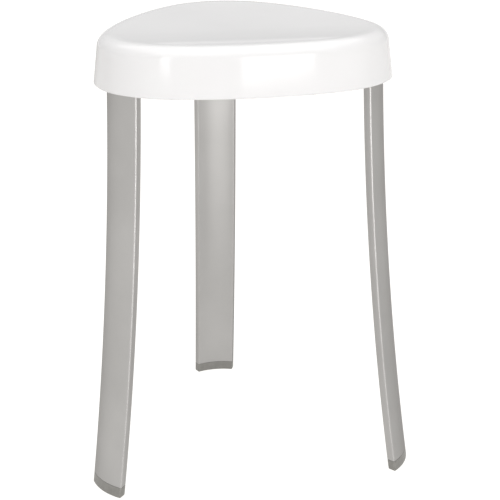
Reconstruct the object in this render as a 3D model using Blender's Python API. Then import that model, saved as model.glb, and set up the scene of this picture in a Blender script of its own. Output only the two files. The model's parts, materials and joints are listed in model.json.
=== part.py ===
"""A three-legged shower stool: a moulded seat shell on three bent, hollow aluminium legs.

Run with blender --background --python part.py, or from Blender's text editor.
Metres, +Z up. The floor is z = 0 and the origin is the middle, at floor level, of the box around the stool.
The stool has three-fold symmetry about a vertical axis a little in front of the origin. One leg is at the
back, on +Y.

Everything that belongs to a leg is modelled once in the leg frame: origin on that axis at floor level,
+Y radially outwards through the middle of the leg, +X across it.
"""
import math

import bmesh
import bpy
from mathutils import Matrix, Vector

# Seat
SEAT_HEIGHT = 0.450  # floor to the crest of the rim
SEAT_DEPTH = 0.046  # crest of the rim to the lower edge of the skirt
SEAT_MEAN_REACH = 0.1422  # mean distance from the axis to the outline's tangents, at the skirt's lower edge
SEAT_LOBES = {3: 0.0131, 6: -0.0018, 9: 0.0005}  # cosine terms that turn the circle into a rounded triangle
SEAT_OUTLINE_STEPS = 72
SKIRT_DRAFT = math.radians(7.1)  # the skirt leans in towards the top
RIM_RADIUS = 0.0128
RIM_STEPS = 6
DISH_DEPTH = 0.006
DISH_SCALES = (0.93, 0.8, 0.6, 0.35)  # rings of the dish, as shares of the crest's outline
SEAT_WALL = 0.003
SKIRT_EDGE_CHAMFER = 0.0008
RIB_THICKNESS = 0.0024
ROUND_RIB_LOWER_EDGE = 0.4384
STRAIGHT_RIB_LOWER_EDGE = 0.438
RIB_RING_RADII = (0.038, 0.085)
RING_STEPS = 36

# Legs
LEG_WIDTH = 0.0462
LEG_THICKNESS = 0.0085
LEG_ARCH_RISE = 0.00435  # the crown of the outer face stands this far out from its two edges
LEG_WALL = 0.0016
LEG_OUTER_CORNER = 0.0012
LEG_INNER_CORNER = 0.0010
BEND_RADIUS = 3.5  # along the leg, measured on the crown line of the outer face
BEND_APEX_HEIGHT = 0.5215  # where the bend's tangent would be vertical, above the seat
BEND_APEX_REACH = 0.1432  # distance of the crown line from the axis at that height
LEG_TOP = 0.434
LEG_PATH_STEPS = 8
ARCH_STEPS = 8
CORNER_STEPS = 3

# Feet
FOOT_CAP_HEIGHT = 0.0112  # at the outer face
FOOT_PLUG_LENGTH = 0.020
FOOT_PLUG_WALL = 0.0014
SOLE_CHAMFER = 0.0008
SOLE_GROOVE_WIDTH = 0.0012
SOLE_GROOVE_DEPTH = 0.0013
SOLE_GROOVE_PLACES = (-0.014, -0.007, 0.007, 0.014)

# Joint between leg and seat
GAP = 0.0003  # between pieces that touch on the real stool
SOCKET_WALL = 0.0025
SOCKET_BOTTOM = 0.408
SCREW_HEIGHT = 0.419
SCREW_SPACING = 0.022
INSERT_LENGTH = 0.028
SCREW_LENGTH = 0.012
SHANK_RADIUS = 0.00235
HOLE_RADIUS = 0.0028
NUT_BORE_RADIUS = 0.00265
HEAD_RADIUS = 0.00475
HEAD_HEIGHT = 0.00275
HEX_SOCKET_RADIUS = 0.0017
HEX_SOCKET_DEPTH = 0.0016
WASHER_RADIUS = 0.005
WASHER_THICKNESS = 0.001
NUT_CORNER_RADIUS = 0.0046
NUT_THICKNESS = 0.0027
ROUND_STEPS = 18

# Worked out from the above
SKIRT_EDGE = SEAT_HEIGHT - SEAT_DEPTH
RIM_CENTRE_HEIGHT = SEAT_HEIGHT - RIM_RADIUS
CREST_INSET = (RIM_CENTRE_HEIGHT - SKIRT_EDGE) * math.tan(SKIRT_DRAFT) + RIM_RADIUS
ARCH_RADIUS = (LEG_WIDTH ** 2 / 4 + LEG_ARCH_RISE ** 2) / (2 * LEG_ARCH_RISE)
CORNER_CENTRE_RADIUS = ARCH_RADIUS - LEG_OUTER_CORNER
CORNER_CENTRE_ANGLE = math.asin((LEG_WIDTH / 2 - LEG_OUTER_CORNER) / CORNER_CENTRE_RADIUS)
ARCH_HALF_ANGLE = CORNER_CENTRE_ANGLE + math.asin(LEG_OUTER_CORNER / CORNER_CENTRE_RADIUS)
LEG_ANGLES = {"back": 0.0, "left": math.radians(120), "right": math.radians(-120)}

WHITE_PLASTIC = ("white_plastic", (0.87, 0.87, 0.86), 0.22, 0.0)
SATIN_ALUMINIUM = ("satin_aluminium", (0.56, 0.56, 0.54), 0.42, 1.0)
GREY_RUBBER = ("grey_rubber", (0.27, 0.27, 0.26), 0.62, 0.0)
BLACK_NYLON = ("black_nylon", (0.03, 0.03, 0.032), 0.5, 0.0)
STAINLESS_STEEL = ("stainless_steel", (0.62, 0.61, 0.59), 0.28, 1.0)


def make_material(name, colour, roughness, metallic):
    """A Principled material, made once and then shared."""
    material = bpy.data.materials.get(name)
    if material is None:
        material = bpy.data.materials.new(name)
        material.use_nodes = True
        shader = material.node_tree.nodes["Principled BSDF"]
        shader.inputs["Base Color"].default_value = (*colour, 1.0)
        shader.inputs["Roughness"].default_value = roughness
        shader.inputs["Metallic"].default_value = metallic
    return material


def add_object(name, mesh, finish, parent=None, placing=None):
    """Puts a mesh in the scene as a named sub-part."""
    if not mesh.materials:
        mesh.materials.append(make_material(*finish))
    part = bpy.data.objects.new(name, mesh)
    bpy.context.collection.objects.link(part)
    part.parent = parent
    if placing is not None:
        part.location, part.rotation_euler = placing.to_translation(), placing.to_euler()
    return part


def loft(name, rings, endless=False):
    """A closed mesh through rings of points, all of one length. Ends are capped, and a ring of one point is a
    tip. An endless loft joins its last ring to its first instead, as a tube's wall does."""
    shape = bmesh.new()
    loops = [[shape.verts.new(point) for point in ring] for ring in rings]
    pairs = list(zip(loops, loops[1:]))
    if endless:
        pairs.append((loops[-1], loops[0]))
    for one, other in pairs:
        count = max(len(one), len(other))
        for i in range(count):
            j = (i + 1) % count
            if len(one) == 1:
                shape.faces.new((one[0], other[j], other[i]))
            elif len(other) == 1:
                shape.faces.new((one[i], one[j], other[0]))
            else:
                shape.faces.new((one[i], one[j], other[j], other[i]))
    if not endless:
        for loop in (loops[0], loops[-1]):
            if len(loop) > 1:
                shape.faces.new(loop)
    bmesh.ops.recalc_face_normals(shape, faces=shape.faces)
    mesh = bpy.data.meshes.new(name)
    shape.to_mesh(mesh)
    shape.free()
    smooth_round_faces(mesh)
    return mesh


def smooth_round_faces(mesh):
    """Smooth shading that keeps the real edges."""
    mesh.shade_smooth()
    mesh.set_sharp_from_angle(angle=math.radians(35))


def prism(name, outline, low, high):
    """An upright prism on a flat outline of (x, y) points."""
    return loft(name, [[(x, y, z) for x, y in outline] for z in (low, high)])


def polygon(radius, steps, turn=0.0):
    """Points of a regular polygon, which stands for a circle when it has many steps."""
    angles = [turn + 2 * math.pi * i / steps for i in range(steps)]
    return [(radius * math.cos(a), radius * math.sin(a)) for a in angles]


def rectangle(left, right, near, far):
    return [(left, near), (right, near), (right, far), (left, far)]


def turned(mesh, matrix):
    """A copy of a mesh moved by a matrix."""
    copy = mesh.copy()
    copy.transform(matrix)
    return copy


def carve(name, mesh, cutters):
    """The mesh that is left of one mesh after the cutter meshes are taken away from it."""
    helpers = [bpy.data.objects.new(f"{name}_blank", mesh)]
    helpers += [bpy.data.objects.new(f"{name}_cutter", cutter) for cutter in cutters]
    for helper in helpers:
        bpy.context.collection.objects.link(helper)
    for cutter in helpers[1:]:
        cut = helpers[0].modifiers.new("cut", "BOOLEAN")
        cut.operation, cut.solver, cut.object = "DIFFERENCE", "EXACT", cutter
    graph = bpy.context.evaluated_depsgraph_get()
    carved = bpy.data.meshes.new_from_object(helpers[0].evaluated_get(graph))
    carved.name = name
    for helper in helpers:
        bpy.data.objects.remove(helper)
    smooth_round_faces(carved)
    return carved


# ---------------------------------------------------------------- seat


def seat_outline(inset):
    """The seat's rounded triangle, moved in by inset, round the stool's axis. Angle 0 is the back corner.
    Each point is where the outline touches the tangent line whose distance from the axis is reach."""
    points = []
    for i in range(SEAT_OUTLINE_STEPS):
        angle = 2 * math.pi * i / SEAT_OUTLINE_STEPS
        reach = SEAT_MEAN_REACH - inset + sum(size * math.cos(n * angle) for n, size in SEAT_LOBES.items())
        slope = -sum(n * size * math.sin(n * angle) for n, size in SEAT_LOBES.items())
        outwards = Vector((-math.sin(angle), math.cos(angle)))
        points.append(outwards * reach + outwards.orthogonal() * slope)
    return points


def seat_surface(depth):
    """Rings of the surface that lies depth inside the seat's outer surface, from the skirt's edge inwards."""
    rings = []
    for height in (SKIRT_EDGE, RIM_CENTRE_HEIGHT):
        inset = depth + (height - SKIRT_EDGE) * math.tan(SKIRT_DRAFT)
        rings.append([(x, y, height) for x, y in seat_outline(inset)])
    for i in range(1, RIM_STEPS + 1):
        angle = math.pi / 2 * i / RIM_STEPS
        inset = CREST_INSET - (RIM_RADIUS - depth) * math.cos(angle)
        height = RIM_CENTRE_HEIGHT + (RIM_RADIUS - depth) * math.sin(angle)
        rings.append([(x, y, height) for x, y in seat_outline(inset)])
    crest = seat_outline(CREST_INSET)
    for scale in (*DISH_SCALES, 0.0):
        height = SEAT_HEIGHT - depth - DISH_DEPTH * (1 - scale ** 2)
        rings.append([(x * scale, y * scale, height) for x, y in (crest if scale else crest[:1])])
    return rings


def lowered(ring, height):
    return [(x, y, height) for x, y, _ in ring]


def ring_wall(radius):
    """A tall round wall that becomes a circular rib."""
    low, high = ROUND_RIB_LOWER_EDGE, SEAT_HEIGHT + 0.01
    half, turn = RIB_THICKNESS / 2, math.pi / RING_STEPS
    outer, inner = (polygon(reach, RING_STEPS, turn) for reach in (radius + half, radius - half))
    loops = ((outer, low), (outer, high), (inner, high), (inner, low))
    return loft("ring_wall", [[(x, y, z) for x, y in outline] for outline, z in loops], endless=True)


def straight_rib(angle, start, end):
    low, high = STRAIGHT_RIB_LOWER_EDGE, SEAT_HEIGHT + 0.012
    rib = prism("rib", rectangle(-RIB_THICKNESS / 2, RIB_THICKNESS / 2, start, end), low, high)
    return turned(rib, Matrix.Rotation(angle, 4, "Z"))


def build_seat_mesh():
    """The envelope, less a cavity that leaves the ribs and leg sockets, less the pockets for the legs."""
    outer, inner = seat_surface(0.0), seat_surface(SEAT_WALL)
    edge = [(x, y, SKIRT_EDGE) for x, y in seat_outline(SKIRT_EDGE_CHAMFER)]
    outer[0] = lowered(outer[0], SKIRT_EDGE + SKIRT_EDGE_CHAMFER)
    below = lowered(inner[0], SKIRT_EDGE - 0.01)

    kept_whole = [ring_wall(radius) for radius in RIB_RING_RADII]
    for angle in LEG_ANGLES.values():
        kept_whole.append(straight_rib(angle, RIB_RING_RADII[0], leg_reach(SCREW_HEIGHT)))
        kept_whole.append(straight_rib(angle + math.pi, RIB_RING_RADII[0], SEAT_MEAN_REACH))
        kept_whole.append(turned(socket_block(), Matrix.Rotation(angle, 4, "Z")))
    cavity = carve("cavity", loft("cavity", [below, *inner]), kept_whole)

    cutters = [cavity]
    for angle in LEG_ANGLES.values():
        turn = Matrix.Rotation(angle, 4, "Z")
        cutters.append(turned(leg_pocket(), turn))
        cutters += [turned(hole, turn) for hole in screw_holes()]
    return carve("seat_shell", loft("envelope", [edge, *outer]), cutters)


# ---------------------------------------------------------------- legs


def leg_lean(height):
    """How far the leg leans from the vertical where its crown line passes a height."""
    return math.asin((BEND_APEX_HEIGHT - height) / BEND_RADIUS)


def leg_reach(height):
    """The crown line's distance from the axis at a height."""
    return BEND_APEX_REACH + BEND_RADIUS * (1 - math.cos(leg_lean(height)))


def leg_station(height):
    """A frame on the crown line at a height: X across the leg, Y out of its outer face, Z up along it."""
    return Matrix.Translation((0, leg_reach(height), height)) @ Matrix.Rotation(leg_lean(height), 4, "X")


def arch_section(inset):
    """The leg's section, moved in by inset: part of a flat ring with rounded corners. (x, y) is across the leg
    and out of its outer face, from the crown."""
    outer, inner = ARCH_RADIUS - inset, ARCH_RADIUS - LEG_THICKNESS + inset
    round_out = max(LEG_OUTER_CORNER - inset, 0.0004)
    round_in = max(LEG_INNER_CORNER - inset, 0.0004)
    span_out = ARCH_HALF_ANGLE - math.asin((inset + round_out) / (outer - round_out))
    span_in = ARCH_HALF_ANGLE - math.asin((inset + round_in) / (inner + round_in))
    side = ARCH_HALF_ANGLE + math.pi / 2
    angles = [span_out * i / (ARCH_STEPS // 2) for i in range(ARCH_STEPS // 2)]
    points = [Vector((outer * math.sin(a), outer * math.cos(a))) for a in angles]
    points += corner_arc(outer - round_out, span_out, round_out, span_out, side)
    points += corner_arc(inner + round_in, span_in, round_in, side, span_in + math.pi)
    for i in range(ARCH_STEPS // 2 - 1, -1, -1):
        angle = span_in * i / (ARCH_STEPS // 2)
        points.append(Vector((inner * math.sin(angle), inner * math.cos(angle))))
    mirrored = [Vector((-x, y)) for x, y in reversed(points[1:-1])]
    return [(x, y - ARCH_RADIUS) for x, y in points + mirrored]


def corner_arc(reach, angle, radius, start, end):
    """A rounded corner of the section. Angles run from the crown direction towards +X."""
    centre = Vector((reach * math.sin(angle), reach * math.cos(angle)))
    turns = [start + (end - start) * i / CORNER_STEPS for i in range(CORNER_STEPS + 1)]
    return [centre + radius * Vector((math.sin(t), math.cos(t))) for t in turns]


def section_ring(inset, height):
    """A section of the leg, square to its bend, at a height of the crown line."""
    station = leg_station(height)
    return [station @ Vector((x, y, 0)) for x, y in arch_section(inset)]


def level_ring(inset, height):
    """The outline that a level cut through the leg has, at a height."""
    along = leg_station(height).to_3x3() @ Vector((0, 0, 1))
    return [point + along * ((height - point.z) / along.z) for point in section_ring(inset, height)]


def leg_rings(inset):
    """Rings from the leg's lower end, which is cut level, to its top, which is cut square."""
    low = FOOT_CAP_HEIGHT + GAP
    heights = [low + (LEG_TOP - low) * i / LEG_PATH_STEPS for i in range(1, LEG_PATH_STEPS + 1)]
    return [level_ring(inset, low)] + [section_ring(inset, height) for height in heights]


def build_leg_mesh():
    """A hollow bent extrusion, open at both ends, with two screw holes through its inner wall."""
    walls = leg_rings(0.0) + leg_rings(LEG_WALL)[::-1]
    return carve("leg", loft("leg", walls, endless=True), screw_holes(through_leg=True))


def build_foot_cap_mesh():
    """A flush head that the leg stands on, and a hollow plug that fills the leg's lower end."""
    fit = LEG_WALL + GAP
    plug_top = FOOT_CAP_HEIGHT + FOOT_PLUG_LENGTH
    rings = [
        level_ring(SOLE_CHAMFER, 0.0),
        level_ring(0.0, SOLE_CHAMFER),
        level_ring(0.0, FOOT_CAP_HEIGHT),
        level_ring(fit, FOOT_CAP_HEIGHT),
        level_ring(fit, plug_top),
        level_ring(fit + FOOT_PLUG_WALL, plug_top),
        level_ring(fit + FOOT_PLUG_WALL, FOOT_CAP_HEIGHT),
    ]
    grooves = []
    for place in SOLE_GROOVE_PLACES:
        half = SOLE_GROOVE_WIDTH / 2
        outline = rectangle(place - half, place + half, leg_reach(0) - 0.03, leg_reach(0) + 0.01)
        grooves.append(prism("groove", outline, -0.001, SOLE_GROOVE_DEPTH))
    return carve("foot_cap", loft("foot_cap", rings), grooves)


# ---------------------------------------------------------------- joint between leg and seat


def arch_face(radius, across):
    """How far in from the crown a face of the arch lies, at a distance across the leg."""
    return math.sqrt(radius ** 2 - across ** 2) - ARCH_RADIUS


SOCKET_FACE = arch_face(ARCH_RADIUS - LEG_THICKNESS, 0) - SOCKET_WALL - LEG_ARCH_RISE
NUT_SEAT = arch_face(ARCH_RADIUS - LEG_THICKNESS + LEG_WALL, SCREW_SPACING / 2 - NUT_CORNER_RADIUS) + GAP


def at_screws(mesh):
    """A mesh in the screw station's frame, moved into the leg frame."""
    return turned(mesh, leg_station(SCREW_HEIGHT))


def socket_block():
    """The block that surrounds the top of a leg. Its flat inner face takes the screw heads."""
    half = LEG_WIDTH / 2 + GAP + SOCKET_WALL
    outline = rectangle(-half, half, SOCKET_FACE, 0.008)
    return at_screws(prism("socket", outline, SOCKET_BOTTOM - SCREW_HEIGHT, 0.04))


def leg_pocket():
    """The space for the top of a leg, open downwards."""
    outline = arch_section(-GAP)
    return at_screws(prism("pocket", outline, -0.04, LEG_TOP + GAP - SCREW_HEIGHT))


def across_places():
    return (-SCREW_SPACING / 2, SCREW_SPACING / 2)


def along_screw(start, across):
    """Placing of a fastener in the leg frame. Its +Z runs outwards, from start on the screw station's Y."""
    place = Matrix.Translation((across, start, 0))
    return leg_station(SCREW_HEIGHT) @ place @ Matrix.Rotation(-math.pi / 2, 4, "X")


def screw_holes(through_leg=False):
    """Cutters for the clearance holes: through the socket's inner wall, or through the leg's inner wall."""
    start, length = (SOCKET_FACE + 0.001, 0.011) if through_leg else (SOCKET_FACE - 0.002, 0.0085)
    hole = prism("hole", polygon(HOLE_RADIUS, ROUND_STEPS), 0, length)
    return [turned(hole, along_screw(start, across)) for across in across_places()]


def build_insert_mesh():
    """A block that fills the leg's top end and holds the two nuts against its inner wall."""
    fit = LEG_WALL + GAP
    low = LEG_TOP - INSERT_LENGTH - SCREW_HEIGHT
    high = LEG_TOP - SCREW_HEIGHT
    block = at_screws(prism("insert", arch_section(fit), low, high))
    seat = polygon(NUT_CORNER_RADIUS + GAP, 6)
    cutters = []
    for across in across_places():
        placing = along_screw(NUT_SEAT, across)
        cutters.append(turned(prism("nut_seat", seat, -0.004, NUT_THICKNESS + GAP), placing))
        cutters.append(turned(prism("tip", polygon(HOLE_RADIUS, ROUND_STEPS), 0, 0.0042), placing))
    return carve("leg_insert", block, cutters)


def build_screw_mesh():
    """A button-head screw with a hexagon socket. Its +Z runs to the tip, from the underside of the head."""
    profile = [
        (SHANK_RADIUS - 0.0004, SCREW_LENGTH),
        (SHANK_RADIUS, SCREW_LENGTH - 0.0005),
        (SHANK_RADIUS, 0.0),
        (HEAD_RADIUS, 0.0),
        (HEAD_RADIUS, -0.0007),
        (HEAD_RADIUS * 0.85, -0.0019),
        (HEAD_RADIUS * 0.55, -HEAD_HEIGHT),
    ]
    rings = [[(x, y, z) for x, y in polygon(radius, ROUND_STEPS)] for radius, z in profile]
    for depth in (HEAD_HEIGHT, HEAD_HEIGHT - HEX_SOCKET_DEPTH):
        rings.append([(x, y, -depth) for x, y in hexagon_with_steps(HEX_SOCKET_RADIUS, ROUND_STEPS)])
    return loft("screw", rings)


def hexagon_with_steps(radius, steps):
    """A hexagon's outline divided into steps points, so that it can be lofted to a circle."""
    corners = [Vector(corner) for corner in polygon(radius, 6)]
    each = steps // 6
    points = []
    for one, other in zip(corners, corners[1:] + corners[:1]):
        points += [one.lerp(other, i / each) for i in range(each)]
    return points


def build_washer_mesh():
    rim, bore = polygon(WASHER_RADIUS, ROUND_STEPS), polygon(HOLE_RADIUS, ROUND_STEPS)
    return flat_ring("washer", rim, bore, WASHER_THICKNESS)


def build_nut_mesh():
    rim, bore = hexagon_with_steps(NUT_CORNER_RADIUS, ROUND_STEPS), polygon(NUT_BORE_RADIUS, ROUND_STEPS)
    return flat_ring("nut", rim, bore, NUT_THICKNESS)


def flat_ring(name, rim, bore, thickness):
    """A flat piece between two outlines of (x, y) points, standing on z = 0."""
    loops = ((rim, 0), (rim, thickness), (bore, thickness), (bore, 0))
    return loft(name, [[(x, y, z) for x, y in outline] for outline, z in loops], endless=True)


# ---------------------------------------------------------------- whole stool


def find_axis_y():
    """Where the stool's axis is. The box around the stool runs from the seat's front edge to the back foot."""
    front = min(point.y for point in seat_outline(0.0))
    back = max(point.y for point in level_ring(0.0, SOLE_CHAMFER))
    return -(front + back) / 2


def build_stool():
    for old in list(bpy.data.objects):
        bpy.data.objects.remove(old)
    axis = Vector((0, find_axis_y(), 0))
    add_object("seat_shell", build_seat_mesh(), WHITE_PLASTIC, placing=Matrix.Translation(axis))

    leg, foot_cap, insert = build_leg_mesh(), build_foot_cap_mesh(), build_insert_mesh()
    washer_start = SOCKET_FACE - GAP - WASHER_THICKNESS
    fasteners = (
        ("screw", build_screw_mesh(), washer_start - GAP),
        ("washer", build_washer_mesh(), washer_start),
        ("nut", build_nut_mesh(), NUT_SEAT),
    )
    for side, angle in LEG_ANGLES.items():
        station = bpy.data.objects.new(f"{side}_station", None)
        bpy.context.collection.objects.link(station)
        station.location, station.rotation_euler.z = axis, angle
        add_object(f"{side}_leg", leg, SATIN_ALUMINIUM, station)
        add_object(f"{side}_foot_cap", foot_cap, GREY_RUBBER, station)
        add_object(f"{side}_leg_insert", insert, BLACK_NYLON, station)
        for name, mesh, start in fasteners:
            for place, across in zip("ab", across_places()):
                placing = along_screw(start, across)
                add_object(f"{side}_{name}_{place}", mesh, STAINLESS_STEEL, station, placing)


build_stool()
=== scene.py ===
"""Shower stool: a white moulded seat on three bent, hollow aluminium legs with grey foot caps.

Metres, +Z up, floor at z = 0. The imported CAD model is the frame, and every piece here stands for
one of its nodes or carries it over with a better finish. The stool has three-fold symmetry about an
upright axis, one leg to the back on +Y. Whatever belongs to a leg is built once in a leg frame. It
has its origin where that axis meets the floor, +Y outwards through the middle of the leg, and +X
across it.
"""
from __future__ import annotations

import json
import logging
import math
from collections.abc import Callable, Iterable, Mapping, Sequence
from dataclasses import dataclass, field
from enum import Enum

import bmesh
import bpy
from mathutils import Matrix, Vector

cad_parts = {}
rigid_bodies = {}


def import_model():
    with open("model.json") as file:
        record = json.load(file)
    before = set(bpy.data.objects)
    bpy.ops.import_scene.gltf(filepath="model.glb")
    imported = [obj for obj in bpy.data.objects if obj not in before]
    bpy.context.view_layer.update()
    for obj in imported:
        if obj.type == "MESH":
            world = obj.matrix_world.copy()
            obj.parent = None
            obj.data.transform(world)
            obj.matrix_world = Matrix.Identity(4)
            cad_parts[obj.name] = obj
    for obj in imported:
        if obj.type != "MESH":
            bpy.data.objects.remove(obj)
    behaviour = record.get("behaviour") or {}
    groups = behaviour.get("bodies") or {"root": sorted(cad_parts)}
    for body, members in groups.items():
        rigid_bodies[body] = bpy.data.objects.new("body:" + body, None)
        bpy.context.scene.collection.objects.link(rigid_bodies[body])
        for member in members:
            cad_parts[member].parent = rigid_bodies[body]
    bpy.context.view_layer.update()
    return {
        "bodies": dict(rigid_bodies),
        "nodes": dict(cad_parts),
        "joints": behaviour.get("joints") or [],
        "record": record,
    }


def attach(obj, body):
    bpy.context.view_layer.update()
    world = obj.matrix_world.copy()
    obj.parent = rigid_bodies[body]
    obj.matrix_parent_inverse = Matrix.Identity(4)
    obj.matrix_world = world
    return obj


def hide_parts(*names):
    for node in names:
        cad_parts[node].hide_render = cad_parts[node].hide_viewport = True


log = logging.getLogger("shower_stool")

Ring = list[Vector]
Colour = tuple[float, float, float]
ROOT = "root"
SHEET = "sheet"
SMOOTH_ANGLE = math.radians(32)
LEG_TURNS = {"back": 0.0, "left": math.radians(120), "right": math.radians(-120)}
BLACK: Colour = (0.0, 0.0, 0.0)
WHITE: Colour = (1.0, 1.0, 1.0)


# ------------------------------------------------------------------ shader language


class Signal:
    """A number that varies over a surface. Arithmetic on it adds Math nodes to its material."""

    def __init__(self, bench: Bench, socket: bpy.types.NodeSocket) -> None:
        """Wraps an output socket of a node on the bench."""
        self.bench = bench
        self.socket = socket

    def _maths(self, operation: str, *values: Signal | float) -> Signal:
        """Adds one Math node.

        Args:
            operation: The Math node's operation.
            values: Its inputs in order, each a signal or a number.

        Returns:
            The node's result.
        """
        inputs = dict(enumerate(values))
        return self.bench.signal("ShaderNodeMath", {"operation": operation}, inputs)

    def __add__(self, other: Signal | float) -> Signal:
        """self + other."""
        return self._maths("ADD", self, other)

    __radd__ = __add__

    def __sub__(self, other: Signal | float) -> Signal:
        """self - other."""
        return self._maths("SUBTRACT", self, other)

    def __rsub__(self, other: Signal | float) -> Signal:
        """other - self."""
        return self._maths("SUBTRACT", other, self)

    def __mul__(self, other: Signal | float) -> Signal:
        """self * other."""
        return self._maths("MULTIPLY", self, other)

    __rmul__ = __mul__

    def __truediv__(self, other: Signal | float) -> Signal:
        """self / other."""
        return self._maths("DIVIDE", self, other)

    def __rtruediv__(self, other: Signal | float) -> Signal:
        """other / self."""
        return self._maths("DIVIDE", other, self)

    def sine(self) -> Signal:
        """The sine of the signal, in radians."""
        return self._maths("SINE", self)

    def at_most(self, other: Signal | float) -> Signal:
        """The smaller of the signal and other."""
        return self._maths("MINIMUM", self, other)

    def ramp(self, low: float, high: float) -> Signal:
        """A smooth step of the signal.

        Args:
            low: Where the step is still 0.
            high: Where the step has reached 1.

        Returns:
            The step, from 0 to 1.
        """
        settings = {"interpolation_type": "SMOOTHSTEP"}
        inputs = {"Value": self, "From Min": low, "From Max": high}
        return self.bench.signal("ShaderNodeMapRange", settings, inputs, output="Result")


class Bench:
    """A node tree while it is being made."""

    def __init__(self, tree: bpy.types.ShaderNodeTree) -> None:
        """Takes a node tree and empties it."""
        self.tree = tree
        self.tree.nodes.clear()

    def node(
        self,
        kind: str,
        settings: Mapping[str, object] | None = None,
        inputs: Mapping[str | int, object] | None = None,
    ) -> bpy.types.Node:
        """Adds a node.

        Args:
            kind: The node's type name.
            settings: Its own properties, which are set before its sockets.
            inputs: A value, a socket or a signal for each input, by name or place.

        Returns:
            The new node.
        """
        node = self.tree.nodes.new(kind)
        for name, value in (settings or {}).items():
            setattr(node, name, value)
        self.feed(node, inputs or {})
        return node

    def feed(self, node: bpy.types.Node, inputs: Mapping[str | int, object]) -> None:
        """Sets or links a node's inputs.

        Args:
            node: The node to feed.
            inputs: A value, a socket or a signal for each input, by name or place.
        """
        for key, value in inputs.items():
            source = value.socket if isinstance(value, Signal) else value
            if isinstance(source, bpy.types.NodeSocket):
                self.tree.links.new(source, node.inputs[key])
            else:
                node.inputs[key].default_value = source

    def signal(
        self,
        kind: str,
        settings: Mapping[str, object] | None = None,
        inputs: Mapping[str | int, object] | None = None,
        output: str | int = 0,
    ) -> Signal:
        """Adds a node and wraps one of its outputs.

        Args:
            kind: The node's type name.
            settings: Its own properties.
            inputs: What its inputs get.
            output: Which output to wrap, by name or place.

        Returns:
            The output as a signal.
        """
        return Signal(self, self.node(kind, settings, inputs).outputs[output])

    def split(self, vector: bpy.types.NodeSocket) -> tuple[Signal, Signal, Signal]:
        """The three parts of a vector."""
        node = self.node("ShaderNodeSeparateXYZ", inputs={"Vector": vector})
        return tuple(Signal(self, output) for output in node.outputs)


class PaintBench(Bench):
    """The node tree of a material with one Principled shader."""

    def __init__(self, name: str) -> None:
        """Starts a material.

        Args:
            name: The material's name.
        """
        self.material = bpy.data.materials.new(name)
        self.material.use_nodes = True
        super().__init__(self.material.node_tree)
        self.shader = self.node("ShaderNodeBsdfPrincipled")
        self.node("ShaderNodeOutputMaterial", inputs={"Surface": self.shader.outputs["BSDF"]})

    def object_place(self) -> bpy.types.NodeSocket:
        """The point on the surface in its piece's own frame, in metres."""
        return self.node("ShaderNodeTexCoord").outputs["Object"]

    def sheet_place(self) -> bpy.types.NodeSocket:
        """The point on the surface as laid out flat along a bent piece, in metres."""
        return self.node("ShaderNodeUVMap", {"uv_map": SHEET}).outputs["UV"]

    def vector(self, operation: str, *vectors: bpy.types.NodeSocket | Vector) -> bpy.types.Node:
        """Adds a Vector Math node.

        Args:
            operation: The node's operation.
            vectors: Its inputs in order.

        Returns:
            The node.
        """
        return self.node("ShaderNodeVectorMath", {"operation": operation}, dict(enumerate(vectors)))

    def stretched(self, place: bpy.types.NodeSocket, stretch: Vector) -> bpy.types.NodeSocket:
        """A place multiplied axis by axis.

        Args:
            place: The place to stretch.
            stretch: The factor along each axis.

        Returns:
            The stretched place.
        """
        return self.vector("MULTIPLY", place, stretch).outputs["Vector"]

    def noise(self, place: bpy.types.NodeSocket, scale: float, detail: float = 2.0) -> Signal:
        """Soft random variation around 0.5.

        Args:
            place: Where it is read.
            scale: Bumps per metre.
            detail: How many finer layers it has.

        Returns:
            The variation, from 0 to 1.
        """
        inputs = {"Vector": place, "Scale": scale, "Detail": detail}
        return self.signal("ShaderNodeTexNoise", inputs=inputs, output="Fac")

    def grains(self, place: bpy.types.NodeSocket, scale: float) -> Signal:
        """Distance to the nearest of a scatter of points.

        Args:
            place: Where it is read.
            scale: Points per metre.

        Returns:
            The distance, 0 at a point and about 0.7 between points.
        """
        inputs = {"Vector": place, "Scale": scale}
        return self.signal("ShaderNodeTexVoronoi", inputs=inputs, output="Distance")

    def blend(self, factor: Signal, first: Colour, second: Colour) -> bpy.types.NodeSocket:
        """A mix of two colours.

        Args:
            factor: 0 for the first colour and 1 for the second.
            first: The first colour.
            second: The second colour.

        Returns:
            The mixed colour.
        """
        node = self.node("ShaderNodeMix", {"data_type": "RGBA"})
        sockets = {socket.name: socket for socket in node.inputs if socket.enabled}
        self.tree.links.new(factor.socket, sockets["Factor"])
        sockets["A"].default_value = (*first, 1.0)
        sockets["B"].default_value = (*second, 1.0)
        return next(socket for socket in node.outputs if socket.enabled)

    def dress(
        self,
        colour: bpy.types.NodeSocket,
        roughness: Signal,
        relief: Signal,
        relief_height: float,
        uniform: Mapping[str, object],
    ) -> bpy.types.Material:
        """Gives the shader what varies over the surface and what doesn't.

        Args:
            colour: The base colour.
            roughness: The roughness.
            relief: The fine relief, from 0 to 1.
            relief_height: The height of the relief in metres.
            uniform: Values of the shader's other sockets.

        Returns:
            The finished material.
        """
        bump = self.node("ShaderNodeBump", inputs={"Distance": relief_height, "Height": relief})
        self.feed(self.shader, {"Base Color": colour, "Roughness": roughness})
        self.feed(self.shader, {"Normal": bump.outputs["Normal"], **uniform})
        return self.material


# ------------------------------------------------------------------ finishes


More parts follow.
